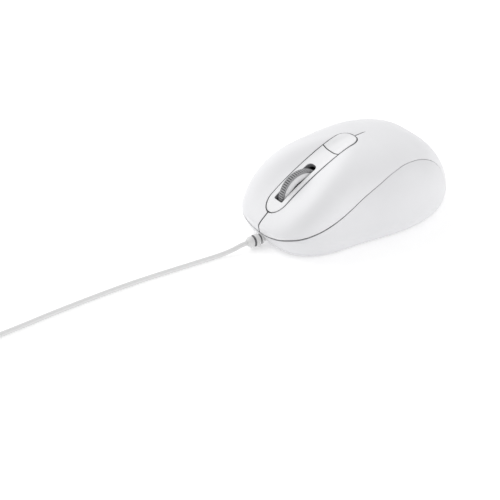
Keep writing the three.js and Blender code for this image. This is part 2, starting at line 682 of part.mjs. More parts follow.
function plugShell() {
  const sleeve = solid(box(-36, -22.3, -6, 6, -2.25, 2.25))
    .subtract(solid(box(-37, -23.2, -5.7, 5.7, -1.95, 1.95)));
  const windows = [-1, 1].flatMap((side) => [-1, 1].map((face) =>
    solid(box(-31.6, -29.2, side * 2.9 - 1.1, side * 2.9 + 1.1, face * 2.1 - 0.6,
      face * 2.1 + 0.6))));
  return geometryOf(windows.reduce((all, cut) => all.subtract(cut), sleeve));
}

const plugTongue = () => box(-35.2, -23.5, -5.3, 5.3, -0.2, 1.6);

// ---------------------------------------------------------------- assembly
place('top_cover', topCover(), PAINT.shell);
place('left_button', key(1), PAINT.shell);
place('right_button', key(-1), PAINT.shell);
place('lower_case', lowerCase(), PAINT.case);
place('wheel_bezel', wheelBezel(), PAINT.island);
place('speed_button', speedKey(), PAINT.island);

const wheelPlace = [0, WHEEL.y, WHEEL.z];
const wheelTurn = [0, Math.PI / 2, 0];
place('wheel_tyre', wheelTyre(), PAINT.tyre, wheelPlace, wheelTurn);
place('wheel_hub', wheelHub(), PAINT.island, wheelPlace, wheelTurn);
place('wheel_carriage', wheelCarriage(), PAINT.inner);

place('circuit_board', circuitBoard(), PAINT.board);
[['left', 1], ['right', -1]].forEach(([name, side]) => {
  const seat = [side * KEY_SWITCH.x, KEY_SWITCH.y, BOARD_TOP];
  place(`${name}_switch`, keySwitchCase(), PAINT.black, seat);
  const top = [seat[0], seat[1], BOARD_TOP + KEY_SWITCH.tall];
  place(`${name}_switch_plunger`, keySwitchPlunger(), PAINT.lamp, top);
  place(`board_screw_${name}`, screw(5, 0.7, 1.9), PAINT.steel,
    [side * 15, -16, BOARD_TOP + 0.6], [Math.PI, 0, 0]);
});
[['middle', MIDDLE], ['speed', SPEED]].forEach(([name, { x, y }]) => {
  place(`${name}_switch`, tactCase(), PAINT.black, [x, y, BOARD_TOP]);
  place(`${name}_switch_plunger`, tactPlunger(), PAINT.black, [x, y, BOARD_TOP + TACT.tall]);
});
place('scroll_emitter', box(-2.2, 2.2, -1.5, 1.5, SKIM, 10), PAINT.clear, [-8.6, -37, BOARD_TOP]);
place('scroll_receiver', box(-2.2, 2.2, -1.5, 1.5, SKIM, 10), PAINT.black, [8.6, -37, BOARD_TOP]);
place('sensor_chip', legChip(9, 11, 3.4, 6), PAINT.black, [0, SENSOR_Y, BOARD_TOP]);
place('sensor_lens', sensorLens(), PAINT.clear);
place('sensor_lamp', lamp(), PAINT.lamp, [0, 26.1, BOARD_TOP + 3.3], [Math.PI, 0, 0]);
place('lamp_clip', lampClip(), PAINT.black);
place('controller_chip', legChip(4, 10, 1.8, 6), PAINT.black, [14, 8, BOARD_TOP]);
place('crystal', smallCan(1.6, 3.4), PAINT.steel, [-13, 13, BOARD_TOP]);
place('capacitor', smallCan(2.6, 8), PAINT.black, [-14, 3, BOARD_TOP]);
place('cable_header', box(-6, 6, -2.2, 2.2, SKIM, 4), PAINT.island, [-9, -42.4, BOARD_TOP]);
place('case_screw', screw(18, 0.95, 2.7), PAINT.steel, [0, POST_Y, 3.6]);

place('front_foot_left', glideFoot(30, 5, -68, -32), PAINT.glide, [0, -8, 0]);
place('front_foot_right', glideFoot(30, 5, -148, -112), PAINT.glide, [0, -8, 0]);
place('rear_foot', glideFoot(30, 6, 62, 118), PAINT.glide, [0, 14, 0]);
place('base_label', prism(roundedRect(-14, 14, -26, -2, 2), BASE_Z - 0.25, BASE_Z - SKIM),
  PAINT.label);

place('strain_relief', boot(), PAINT.cord, [0, BOOT.y, BOOT.z]);
place('cord', tube(ROUTE), PAINT.cord);
place('cord_coil', coil(), PAINT.cord, [COIL.x, COIL.y, 0]);
place('cord_tail', tube(TAIL), PAINT.cord);
const plugPlace = [PLUG.x, PLUG.y, PLUG.z];
place('plug_relief', plugRelief(), PAINT.cord, plugPlace);
const gripPlace = [PLUG.x - 10.3, PLUG.y, PLUG.z];
place('plug_grip', plugGrip(), PAINT.cord, gripPlace);
place('plug_shell', plugShell(), PAINT.steel, gripPlace);
place('plug_tongue', plugTongue(), PAINT.label, gripPlace);

export default part;
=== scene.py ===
# %% [markdown]
# # A white corded mouse
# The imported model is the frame: it already has every part at its true size and place. This
# lesson makes the surfaces that are seen, finer than the frame's facets, and the finish of each
# material. All lengths are metres. The nose and the cord point along -Y, the desk is z = 0 and
# the user's left is at +X.

import math

import bpy
import numpy as np
from mathutils import Matrix, Vector


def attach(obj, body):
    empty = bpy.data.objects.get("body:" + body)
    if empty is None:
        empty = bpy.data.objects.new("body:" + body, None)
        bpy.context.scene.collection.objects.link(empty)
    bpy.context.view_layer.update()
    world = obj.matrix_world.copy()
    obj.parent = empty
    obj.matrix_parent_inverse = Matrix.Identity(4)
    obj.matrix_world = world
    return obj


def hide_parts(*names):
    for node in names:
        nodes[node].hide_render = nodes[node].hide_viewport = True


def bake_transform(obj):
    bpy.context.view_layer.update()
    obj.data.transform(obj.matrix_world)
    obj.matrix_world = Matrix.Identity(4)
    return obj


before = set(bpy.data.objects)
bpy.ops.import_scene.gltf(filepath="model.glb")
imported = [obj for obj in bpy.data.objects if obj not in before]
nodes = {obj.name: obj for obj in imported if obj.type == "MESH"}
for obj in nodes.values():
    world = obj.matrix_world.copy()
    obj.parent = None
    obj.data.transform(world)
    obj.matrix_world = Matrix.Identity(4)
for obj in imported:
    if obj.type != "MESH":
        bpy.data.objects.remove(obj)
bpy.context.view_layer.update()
MM = 0.001

# %% [markdown]
# ## Camera
# The camera looks down at the left side of the mouse from about 30 degrees, with the nose to the
# left of the picture. It is a long lens from 85 cm away, so the mouse keeps its proportions.
# Its place is worked out from two angles and a distance, which are easy to change.

# %% Placing the camera
AZIMUTH = math.radians(56.03)
ELEVATION = math.radians(30.38)
DISTANCE = 850.97 * MM
RIGHT = Vector((math.cos(AZIMUTH), math.sin(AZIMUTH), 0))
BACK = Vector((
    math.sin(AZIMUTH) * math.cos(ELEVATION),
    -math.cos(AZIMUTH) * math.cos(ELEVATION),
    math.sin(ELEVATION),
))
UP = BACK.cross(RIGHT)
LEFT_OF_PICTURE = 47.42 * MM
BELOW_PICTURE = 16.94 * MM
FOCAL_SHARE = 3.56184
SENSOR_WIDTH = 36

lens = bpy.data.cameras.new("camera")
camera = bpy.data.objects.new("camera", lens)
bpy.context.scene.collection.objects.link(camera)
camera.location = BACK * DISTANCE - RIGHT * LEFT_OF_PICTURE - UP * BELOW_PICTURE
camera.rotation_mode = "QUATERNION"
camera.rotation_quaternion = Matrix((RIGHT, UP, BACK)).transposed().to_quaternion()
lens.sensor_width = SENSOR_WIDTH
lens.lens = SENSOR_WIDTH * FOCAL_SHARE
lens.clip_start = 0.01
lens.clip_end = 20
bpy.context.scene.camera = camera
print("camera at", [round(v, 3) for v in camera.location])

# %% [markdown]
# ## Helpers
# Every operator acts on what is selected, and a freshly loaded frame is all selected. So each
# primitive is added by one helper that first deselects everything. Other small helpers go in
# and out of edit mode, apply a modifier, and put a finished piece's place into its mesh.

# %% Selecting, editing and finishing
def alone(obj):
    """Selects one object and makes it active."""
    for other in bpy.context.selected_objects:
        other.select_set(False)
    obj.select_set(True)
    bpy.context.view_layer.objects.active = obj
    return obj


def primitive(kind, name, **settings):
    """Adds a mesh primitive, alone in the selection, under a plain name."""
    for other in bpy.context.selected_objects:
        other.select_set(False)
    getattr(bpy.ops.mesh, f"primitive_{kind}_add")(**settings)
    obj = bpy.context.object
    obj.name = name
    obj.data.name = name
    return obj


def edit(obj, *steps):
    """Runs the steps in edit mode with everything selected at first."""
    alone(obj)
    bpy.ops.object.mode_set(mode="EDIT")
    bpy.ops.mesh.select_all(action="SELECT")
    for step in steps:
        step()
    bpy.ops.object.mode_set(mode="OBJECT")
    return obj


def applied(obj, kind, **settings):
    """Adds a modifier with its settings and applies it."""
    alone(obj)
    modifier = obj.modifiers.new(kind.lower(), kind)
    for key, value in settings.items():
        setattr(modifier, key, value)
    bpy.ops.object.modifier_apply(modifier=modifier.name)
    return obj


def settled(obj, angle=35):
    """Puts the object's place into its mesh and smooths it up to an angle."""
    alone(obj)
    bpy.ops.object.transform_apply(location=True, rotation=True, scale=True)
    bpy.ops.object.shade_smooth_by_angle(angle=math.radians(angle))
    return obj


def weld():
    bpy.ops.mesh.remove_doubles(threshold=0.004 * MM)


def outward():
    bpy.ops.mesh.normals_make_consistent(inside=False)


def coordinates(obj):
    """The vertices' places as a table of rows."""
    flat = np.zeros(len(obj.data.vertices) * 3)
    obj.data.vertices.foreach_get("co", flat)
    return flat.reshape(-1, 3)


def reshape(obj, table):
    """Moves the vertices to new places."""
    obj.data.vertices.foreach_set("co", np.asarray(table, float).ravel())
    obj.data.update()
    return obj


def pick(obj, faces=None, edges=None):
    """Selects in edit mode the faces, or the edges between two places, that pass a test."""
    alone(obj)
    mode = "FACE" if faces else "EDGE"
    bpy.ops.object.mode_set(mode="EDIT")
    bpy.ops.mesh.select_mode(type=mode)
    bpy.ops.mesh.select_all(action="DESELECT")
    bpy.ops.object.mode_set(mode="OBJECT")
    mesh = obj.data
    for item in mesh.polygons if faces else ():
        item.select = faces(item)
    for item in mesh.edges if edges else ():
        a, b = (mesh.vertices[i].co for i in item.vertices)
        item.select = edges(a, b)
    bpy.ops.object.mode_set(mode="EDIT")
    return obj


def done():
    bpy.ops.object.mode_set(mode="OBJECT")


# %% [markdown]
# ## Finishes
# The whole mouse is white injection-moulded plastic, so its finishes differ by small things: how
# matt the mould's spark texture left the skin, how polished the centre island is, how grey the
# rubber tyre is. One function makes them all. It lays a fine bump of mould grain over a slower
# waviness, and lets the colour and the roughness drift a little, as real mouldings do.

# %% The moulded finish
def node(tree, kind, **values):
    made = tree.nodes.new(kind)
    for key, value in values.items():
        if key in made.inputs:
            made.inputs[key].default_value = value
        else:
            setattr(made, key, value)
    return made


def moulded(name, colour, rough, grain=1400, depth=0.05, drift=0.03, coat=0.0, light=0.0):
    """A plastic: colour, roughness, grain size and depth, drift of colour and roughness."""
    material = bpy.data.materials.new(name)
    material.use_nodes = True
    tree = material.node_tree
    shader = tree.nodes["Principled BSDF"]
    shader.inputs["Coat Weight"].default_value = coat
    shader.inputs["Coat Roughness"].default_value = 0.12
    shader.inputs["Subsurface Weight"].default_value = light
    shader.inputs["Subsurface Radius"].default_value = (1.0, 1.0, 1.0)
    shader.inputs["Subsurface Scale"].default_value = 1.2 * MM
    place = node(tree, "ShaderNodeTexCoord")
    slow = node(tree, "ShaderNodeTexNoise", Scale=60.0, Detail=3.0)
    fine = node(tree, "ShaderNodeTexNoise", Scale=float(grain), Detail=2.0)
    tint = node(tree, "ShaderNodeMapRange")
    tint.inputs["To Min"].default_value = 1 - drift
    tint.inputs["To Max"].default_value = 1 + drift
    shade = node(tree, "ShaderNodeMix", data_type="RGBA", blend_type="MULTIPLY")
    shade.inputs["Factor"].default_value = 1.0
    shade.inputs["A"].default_value = (*colour, 1)
    gloss = node(tree, "ShaderNodeMapRange")
    gloss.inputs["To Min"].default_value = rough - 0.05
    gloss.inputs["To Max"].default_value = rough + 0.05
    bump = node(tree, "ShaderNodeBump", Strength=depth, Distance=0.02 * MM)
    link = tree.links.new
    for noise in (slow, fine):
        link(place.outputs["Object"], noise.inputs["Vector"])
    link(slow.outputs["Fac"], tint.inputs["Value"])
    link(tint.outputs["Result"], shade.inputs["B"])
    link(shade.outputs["Result"], shader.inputs["Base Color"])
    link(slow.outputs["Fac"], gloss.inputs["Value"])
    link(gloss.outputs["Result"], shader.inputs["Roughness"])
    link(fine.outputs["Fac"], bump.inputs["Height"])
    link(bump.outputs["Normal"], shader.inputs["Normal"])
    return material


SHELL = moulded("satin_white", (0.83, 0.83, 0.847), 0.42, light=0.05)
# Painted shade: the same white plastic as the cover, painted darker so that the lower case looks less
# lit.
CASE_SHADED_WHITE = moulded("satin_white_case_painted_shade", (0.775, 0.775, 0.792), 0.45, light=0.05)
GLOSS = moulded("polished_white", (0.85, 0.85, 0.863), 0.45, depth=0.02, coat=0.05, light=0.05)
RUBBER = moulded("grey_rubber", (0.38, 0.38, 0.39), 0.62, grain=2600, depth=0.12, drift=0.08)
# Painted shade: near-black painted on the tyre's groove faces to darken them as shade would; the real
# rubber there is the same grey.
TYRE_GROOVE_SHADE = moulded("painted_groove_shade", (0.10, 0.10, 0.105), 0.8, grain=2600, depth=0.1, drift=0.08)
LEAD = moulded("cord_jacket", (0.76, 0.76, 0.76), 0.5, grain=2200, depth=0.06)
INNER = moulded("natural_plastic", (0.70, 0.70, 0.68), 0.55)
# Painted shade: a dark grey painted on the inside faces and walls of the cover, the island and the
# boot's grooves, where shade falls; the real parts there are as pale as their outsides.
PAINTED_SHADE_INSIDE = moulded("painted_shade_inside", (0.26, 0.26, 0.27), 0.8)
BLACK = moulded("black_plastic", (0.012, 0.012, 0.013), 0.45, drift=0.1)
FLOOR_GLOW = 0.26
FLOOR = moulded("paper_floor", (0.93, 0.93, 0.93), 0.9, grain=300, depth=0.01, drift=0.005)
FLOOR.node_tree.nodes["Principled BSDF"].inputs["Emission Color"].default_value = (1, 1, 1, 1)
FLOOR.node_tree.nodes["Principled BSDF"].inputs["Emission Strength"].default_value = FLOOR_GLOW
print("finishes:", len(bpy.data.materials))

# %% [markdown]
# ## The cord
# The cord is one soft lead 2.4 mm thick and 1.45 m long. It leaves the boot straight, drops to
# the desk and runs away from the nose. The stretch that isn't needed is wound as for storage:
# a flat round coil of turns beside and on each other, with the plug beside it. The free stretch
# is a given list of points, the same as in the frame's own design, and the turns come
# from a loop, so their spacing is exact.

# %% Laying the route and winding the coil
CORD = 2.4 * MM
ROUTE = [
    (0, -59.1, 3.3), (0, -62, 3.15), (-0.2, -66, 2.2), (-0.5, -71, 1.5), (-0.8, -77, 1.25),
    (-1.1, -84, 1.2), (-1.6, -97, 1.2), (-2, -110, 1.2), (-2, -123, 1.2), (-1.5, -136, 1.2),
    (-0.7, -149, 1.2), (0.3, -162, 1.2), (1.6, -175, 1.2), (2.6, -187, 1.2), (3.1, -200, 1.2),
    (3.1, -209, 1.2),
]
TAIL = [(-23.4, -238.6, 8.3), (-25.4, -238.6, 7.6), (-28, -238.6, 6.2), (-30.8, -238.6, 4.7),
        (-34.5, -238.6, 4.1)]
COIL_X, COIL_Y = -14, -221.5
RINGS = [17.1, 14.7, 12.3, 9.9]
LEVELS = [1.2, 3.6, 6.0, 8.4]
STEPS = 24
QUARTER = STEPS // 4


def eased(share):
    share = min(max(share, 0), 1)
    return share * share * (3 - 2 * share)


def wound():
    """Points of the coil, clockwise from above. Each turn changes ring in its third quarter and
    level in its last one, so that no turn runs into the next."""
    path = []
    for i, level in enumerate(LEVELS):
        path += [(ring, level) for ring in (RINGS if i % 2 == 0 else RINGS[::-1])]
    points = []
    for turn, (ring, level) in enumerate(path):
        last = turn == len(path) - 1
        ring_after, level_after = path[turn if last else turn + 1]
        for step in range(QUARTER + 1 if last else STEPS):
            share = step / STEPS
            radius = ring + (ring_after - ring) * eased(4 * share - 2)
            height = level + (level_after - level) * eased(4 * share - 3)
            angle = -2 * math.pi * share
            points.append((COIL_X + radius * math.cos(angle),
                           COIL_Y + radius * math.sin(angle), height))
    return points


def lead(name, points, radius):
    """A round lead along one smooth spline through the points."""
    curve = bpy.data.curves.new(name, "CURVE")
    curve.dimensions = "3D"
    curve.bevel_depth = radius
    curve.bevel_resolution = 3
    curve.resolution_u = 3
    curve.use_fill_caps = True
    spline = curve.splines.new("BEZIER")
    spline.bezier_points.add(len(points) - 1)
    for knot, point in zip(spline.bezier_points, points):
        knot.co = Vector(point) * MM
        knot.handle_left_type = "AUTO"
        knot.handle_right_type = "AUTO"
    obj = bpy.data.objects.new(name, curve)
    bpy.context.scene.collection.objects.link(obj)
    return obj


cable = lead("mouse_cord", ROUTE + wound() + TAIL, CORD / 2)
cable.data.materials.append(LEAD)
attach(cable, "case")
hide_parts("cord", "cord_coil", "cord_tail")
print("cord points:", len(cable.data.splines[0].bezier_points))

# %% [markdown]
# ## The form of the body
# The body is one arched form, drawn from its crown: at each angle round the outline, a curve
# runs from the crown over the shoulder to the widest level, then tucks in to the base. Real
# mice are drawn this way too, as a few guide curves that a surface is lofted through. A
# subdivision-surface cage could be pulled to this shape by hand, but then the cover and the
# case would be two shapes that only nearly meet. Both are cut here from the same formula.

# %% Outline, arch and skin
LENGTH, WIDTH, HEIGHT = 105, 66, 42
CROWN_Y = 7.5
BASE_Z, WIDE_Z, NOSE_WIDE_Z = 0.8, 9.5, 11
NOSE_SQUARENESS, TAIL_SQUARENESS = 3.2, 1.9
WAIST, WAIST_Y, WAIST_SPAN = 0.06, -18, 16
ACROSS = (1.55, 2.25, 3.0)
STEEPNESS = (1.12, 3.4, 1.0)
TUCK = (5, 5, 1)
CROWN_BLEND = 0.3
FLARE = 0.3
BASE_THICKNESS = 2


def around(angle, values):
    """A value given at the nose, the side and the tail, blended round the outline."""
    nose, side, tail = values
    lengthwise = np.sin(angle) ** 2
    return side + (np.where(np.sin(angle) < 0, nose, tail) - side) * lengthwise


def power(value, exponent):
    return np.sign(value) * np.abs(value) ** exponent


def outline(angle, inset=0.0):
    """The body's widest outline in plan, from the crown's axis."""
    ahead = np.sin(angle) < 0
    exponent = 2 / np.where(ahead, NOSE_SQUARENESS, TAIL_SQUARENESS)
    reach = LENGTH / 2 + np.where(ahead, CROWN_Y, -CROWN_Y) - inset
    y = power(np.sin(angle), exponent) * reach
    waist = 1 - WAIST * np.exp(-(((y + CROWN_Y - WAIST_Y) / WAIST_SPAN) ** 2))
    return power(np.cos(angle), exponent) * (WIDTH / 2 - inset) * waist, y


def drop(reach, exponent):
    """Share of the arch's fall at a share of its reach, with a soft dome at the crown."""
    s = (reach / CROWN_BLEND) ** 2
    dome = CROWN_BLEND ** exponent * ((4 - exponent) / 2 * s + (exponent - 2) / 2 * s * s)
    return np.where(reach > CROWN_BLEND, np.abs(reach) ** exponent, dome)


def skin(angle, rise, inset=0.0):
    """A point of the skin: rise is -1 at the base, 0 at the widest level, 1 at the crown."""
    x, y = outline(angle, inset)
    across, steep = around(angle, ACROSS), around(angle, STEEPNESS)
    wide = around(angle, (NOSE_WIDE_Z, WIDE_Z, WIDE_Z))
    base = BASE_Z + (BASE_THICKNESS if inset > 0 else 0)
    above = np.clip(rise, 0, 1)
    below = np.clip(-rise, 0, None)
    reach = np.cos(above * np.pi / 2) ** (2 / across)
    reach = reach - around(angle, TUCK) / np.hypot(x, y) * below ** 2
    fall = np.clip(1 - drop(np.minimum(reach, 1), across), 0, 1)
    high = wide + (HEIGHT - inset - wide) * fall ** (1 / steep)
    z = np.where(rise >= 0, high, wide - (wide - base) * below)
    return np.stack([x * reach, CROWN_Y + y * reach, z], -1)


def rise_at(angle, z, inset=0.0):
    """The rise at which the skin reaches a height."""
    wide = around(angle, (NOSE_WIDE_Z, WIDE_Z, WIDE_Z))
    base = BASE_Z + (BASE_THICKNESS if inset > 0 else 0)
    share = np.clip((z - wide) / (HEIGHT - inset - wide), 0, 1)
    above = np.arccos(np.sqrt(1 - share ** around(angle, STEEPNESS))) / (np.pi / 2)
    return np.where(z < wide, (z - wide) / (wide - base), above)


TURN = np.radians(np.arange(-180, 180.01, 0.1))
BEARING = np.unwrap(np.arctan2(*outline(TURN)[::-1]))


def polar(x, y):
    """The outline angle and the rise of a place in plan. Beyond the widest outline, the place
    stands for the skin below it."""
    bearing = np.arctan2(y - CROWN_Y, x)
    angle = np.interp(bearing, BEARING, TURN, period=2 * np.pi)
    reach = np.hypot(x, y - CROWN_Y) / np.hypot(*outline(angle))
    above = np.arccos(np.minimum(reach, 1) ** (around(angle, ACROSS) / 2)) / (np.pi / 2)
    return angle, np.where(reach > 1, (1 - reach) / FLARE, above)


def draped(x, y, inset=0.0):
    """The skin above or below a place in plan."""
    return skin(*polar(x, y), inset)


print("crown at", draped(np.array(0.0), np.array(CROWN_Y)).round(2))

# %% [markdown]
# ## The seam
# Cover and case meet in one line that climbs along the side, rounds over under the palm and
# drops down the back. It is a curve through a few points, given as the angle round the outline
# and the height. The gap is wide under the key tips, which travel, and narrow elsewhere.

# %% Height and width of the seam
SEAM = np.array([
    (-90, 6.2), (-78, 8.2), (-64, 10.2), (-52, 11.8), (-40, 14.4), (-30, 17.4), (-21, 21.2),
    (-13, 25.8), (-9, 28.1), (-6, 29.85), (-2, 32.4), (1, 34), (8, 34.5), (18, 34.15),
    (27, 32.95), (36, 30.15), (42, 26.4), (46, 21.8), (49, 15), (53, 9.5), (60, 6.2), (90, 5),
])
SEAM_GAP, NOSE_GAP = 0.24, 0.5
PLAN = np.stack(outline(TURN), 1)
PACED = np.concatenate([[0], np.cumsum(np.linalg.norm(np.diff(PLAN, axis=0), axis=1))])


def paced(angle):
    """Length along the outline to an angle, so that the seam bends evenly from nose to tail."""
    return np.interp(angle, TURN, PACED)


def seam_height(angle):
    degrees = paced(np.arcsin(np.clip(np.sin(angle), -1, 1)))
    at, height = paced(np.radians(SEAM[:, 0])), SEAM[:, 1]
    slope = np.zeros(len(at))
    slope[1:-1] = (height[2:] - height[:-2]) / (at[2:] - at[:-2])
    k = np.clip(np.searchsorted(at, degrees, side="right") - 1, 0, len(at) - 2)
    span = at[k + 1] - at[k]
    t = (degrees - at[k]) / span
    rise, a, b = height[k + 1] - height[k], slope[k] * span, slope[k + 1] * span
    return height[k] + t * (a + t * (3 * rise - 2 * a - b + t * (a + b - 2 * rise)))


def seam_gap(angle):
    """Height of the gap. NOSE_GAP is what the nose has more than the flank and the tail."""
    return SEAM_GAP + NOSE_GAP * np.maximum(-np.sin(angle), 0)


print("seam heights:", seam_height(np.radians([-90, -45, 0, 45, 90])).round(1))

# %% [markdown]
# ## The cover
# On the real mouse the arched cover is one thin moulding. A long oval opening holds the centre
# island, and a fine slit runs from it to the nose and a short way back, so that the two front
# fingers can flex as keys. The mesh follows that: a grid whose first row is the edge of the
# opening and whose last row is the seam, so both edges are clean loops. Its columns are straight
# in plan and are draped on the skin. Cutting an opening out of a dome with a boolean would be
# quicker, but it leaves ragged small faces just where the light catches the lips. The other half
# is a mirror, the wall is a Solidify and the lips are a Bevel.

# %% Draping a grid between two edges
def even_steps(length, count, tight):
    """Row places along a length, closer together near both ends."""
    t = np.linspace(0, 1, count)
    t = (1 - tight) * t + tight * (3 * t * t - 2 * t ** 3)
    return t * length


def soften(path, ease):
    """Rounds a path of points over about the given length, and keeps its ends."""
    step = np.linalg.norm(np.diff(path, axis=0), axis=1).mean()
    half = int(3 * ease / step)
    weight = np.exp(-0.5 * (np.arange(-half, half + 1) * step / ease) ** 2)
    before = 2 * path[0] - path[half:0:-1]
    after = 2 * path[-1] - path[-2:-half - 2:-1]
    padded = np.concatenate([before, path, after])
    return np.stack([np.convolve(padded[:, i], weight / weight.sum(), "valid") for i in range(3)], 1)


def draped_grid(name, inner, outer, rows, surface, tight, ease=0.0):
    """A grid of columns from the inner edge to the outer edge, both given in plan. Each column
    is straight in plan, lies on the surface, and has its rows spaced by length."""
    columns = len(inner)
    share = np.linspace(0, 1, 321)[:, None]
    grid = []
    for k in range(columns):
        a, b = inner[k], outer[k]
        plan = a + (b - a) * share
        path = surface(plan[:, 0], plan[:, 1])
        if ease:
            path = soften(path, ease)
        length = np.concatenate([[0], np.cumsum(np.linalg.norm(np.diff(path, axis=0), axis=1))])
        at = even_steps(length[-1], rows, tight)
        grid.append(np.stack([np.interp(at, length, path[:, i]) for i in range(3)], 1))
    obj = primitive("grid", name, x_subdivisions=columns - 1, y_subdivisions=rows - 1, size=1)
    table = np.array(grid).transpose(1, 0, 2).reshape(-1, 3) * MM
    reshape(obj, table)
    return edit(obj, weld, outward)


# %% Edges of the cover
ISLAND_HALF, ISLAND_FRONT, ISLAND_REAR, ISLAND_GAP = 5.8, -46.7, 1.4, 0.5
SLIT, SLIT_END = 0.18, 7.1
SLIT_CLOSING, SLIT_SPREAD = 0.8, 1.2


def stadium(half, front, rear, counts):
    """Half of a long oval, from its front point over +X to its rear point."""
    first, straight, last = counts
    turn = np.linspace(-np.pi / 2, 0, first + 1)[:-1]
    front_arc = np.stack([half * np.cos(turn), front + half + half * np.sin(turn)], 1)
    y = np.linspace(front + half, rear - half, straight + 1)[:-1]
    side = np.stack([np.full(straight, half), y], 1)
    turn = np.linspace(0, np.pi / 2, last)
    rear_arc = np.stack([half * np.cos(turn), rear - half + half * np.sin(turn)], 1)
    return np.concatenate([front_arc, side, rear_arc])


def even_turns(first, last, count):
    """Angles round the outline that cut the seam into equal lengths."""
    angle = np.linspace(first, last, 600)
    line = skin(angle, rise_at(angle, seam_height(angle)))
    length = np.concatenate([[0], np.cumsum(np.linalg.norm(np.diff(line, axis=0), axis=1))])
    return np.interp(np.linspace(0, length[-1], count), length, angle)


COUNTS = (26, 64, 90)
mouth = stadium(ISLAND_HALF + ISLAND_GAP, ISLAND_FRONT - ISLAND_GAP, ISLAND_REAR + ISLAND_GAP,
                COUNTS)
NOSE, CORNER, FLANK, STERN = np.radians([-90, -62, -4, 90])
turns = np.concatenate([
    even_turns(NOSE, CORNER, COUNTS[0] + 1)[:-1],
    even_turns(CORNER, FLANK, COUNTS[1] + 1)[:-1],
    even_turns(FLANK, STERN, COUNTS[2]),
])


def seam_plan(angle, raise_by):
    """The seam in plan, with places below the widest level counted as further out."""
    rise = rise_at(angle, seam_height(angle) + raise_by)
    x, y = outline(angle)
    reach = np.cos(np.clip(rise, 0, 1) * np.pi / 2) ** (2 / around(angle, ACROSS))
    reach = reach + FLARE * np.clip(-rise, 0, None)
    return np.stack([x * reach, CROWN_Y + y * reach], 1)


hem = seam_plan(turns, seam_gap(turns))


def cover_surface(x, y):
    """The skin, with the slits opened along the middle ahead of the island and behind it."""
    opening = np.where(y < CROWN_Y, SLIT, 0) * np.clip((SLIT_END - y) / SLIT_CLOSING, 0, 1)
    return draped(x + opening * np.exp(-np.abs(x) / SLIT_SPREAD), y)


cover = draped_grid("cover", mouth, hem, 64, cover_surface, tight=0.85, ease=0.7)
print("half cover:", len(cover.data.polygons), "faces")
applied(cover, "MIRROR", use_axis=(True, False, False), merge_threshold=0.03 * MM)
edit(cover, weld, outward)
cover.data.materials.append(SHELL)
# The second finish paints the wall's inside and its cut edges below the lips dark, as painted shade in
# the gaps and under the cover.
cover.data.materials.append(PAINTED_SHADE_INSIDE)
applied(cover, "SOLIDIFY", thickness=1.7 * MM, offset=-1, use_even_offset=True,
        material_offset=1, material_offset_rim=1)
applied(cover, "BEVEL", width=0.22 * MM, segments=3, limit_method="ANGLE",
        angle_limit=math.radians(55), use_clamp_overlap=False)
settled(cover)
applied(cover, "WEIGHTED_NORMAL", keep_sharp=True)
print("cover:", len(cover.data.polygons), "faces")

# %% [markdown]
# ## The lower case
# The case is a shallow tub. Its wall bulges, tucks in towards the desk and rises to the seam,
# where a thin tongue stands up inside the cover. One section is swept round the body: under the
# base, up the outside, over the lip and the tongue, and down the inside. A Bevel breaks the lip
# and the tongue as a mould would, and booleans open the base for the sensor and the screw.

# %% Sweeping the case's section
TONGUE, TONGUE_INSET, WALL = 1.1, 1.4, 2.0
BASE_FLAT = 0.6
OUTER_ROWS = 56


def case_section(angle):
    """Points of one section, from the base inwards of the edge round to the floor inside."""
    top = seam_height(angle)
    rise = np.linspace(-1, rise_at(angle, top), 300)
    wall = skin(np.full(300, angle), rise)
    centre = np.array([0, CROWN_Y, BASE_Z])
    flat = centre + (wall[0] - centre) * np.linspace(BASE_FLAT, 1, 61)[:-1, None]
    path = soften(np.concatenate([flat, wall]), 0.55)
    length = np.concatenate([[0], np.cumsum(np.linalg.norm(np.diff(path, axis=0), axis=1))])
    at = even_steps(length[-1], OUTER_ROWS, 0.5)
    outer = np.stack([np.interp(at, length, path[:, i]) for i in range(3)], 1)
    inner = [(TONGUE_INSET, top), (TONGUE_INSET, top + TONGUE), (WALL, top + TONGUE)]
    rim = [skin(angle, rise_at(angle, z, inset), inset) for inset, z in inner]
    start = rise_at(angle, top, WALL)
    inside = [skin(angle, start + (-1 - start) * t, WALL) for t in (0, 0.25, 0.5, 0.75, 1)]
    middle = np.array([0, CROWN_Y, BASE_Z + WALL])
    floor_edge = middle + (inside[-1] - middle) * BASE_FLAT
    return np.concatenate([outer, rim, inside, [floor_edge]])


table = np.array([case_section(angle) for angle in turns])
case = primitive("grid", "case_shell", x_subdivisions=table.shape[0] - 1,
                 y_subdivisions=table.shape[1] - 1, size=1)
reshape(case, table.transpose(1, 0, 2).reshape(-1, 3) * MM)
applied(case, "MIRROR", use_axis=(True, False, False), merge_threshold=0.03 * MM)
edit(case, weld)
alone(case)
bpy.ops.object.mode_set(mode="EDIT")
bpy.ops.mesh.select_mode(type="EDGE")
bpy.ops.mesh.select_all(action="DESELECT")
bpy.ops.mesh.select_non_manifold(extend=False)
bpy.ops.mesh.edge_face_add()
bpy.ops.mesh.select_all(action="SELECT")
outward()
done()
print("loose case edges:", sum(1 for e in case.data.edges if e.is_loose))


def cut(obj, tool):
    """Takes a tool's shape out of a piece and removes the tool."""
    applied(obj, "BOOLEAN", object=tool, operation="DIFFERENCE", solver="EXACT")
    bpy.data.objects.remove(tool)
    return obj


def block(name, low, high, radius=0.0, segments=4):
    """A box between two corners in millimetres, with its upright edges rounded."""
    low, high = np.array(low, float), np.array(high, float)
    obj = primitive("cube", name, size=1, location=(low + high) / 2 * MM, scale=(high - low) * MM)
    bpy.ops.object.transform_apply(location=True, rotation=True, scale=True)
    if radius:
        pick(obj, edges=lambda a, b: abs(a.x - b.x) + abs(a.y - b.y) < 1e-7)
        bpy.ops.mesh.bevel(offset=radius * MM, segments=segments)
        done()
    return obj


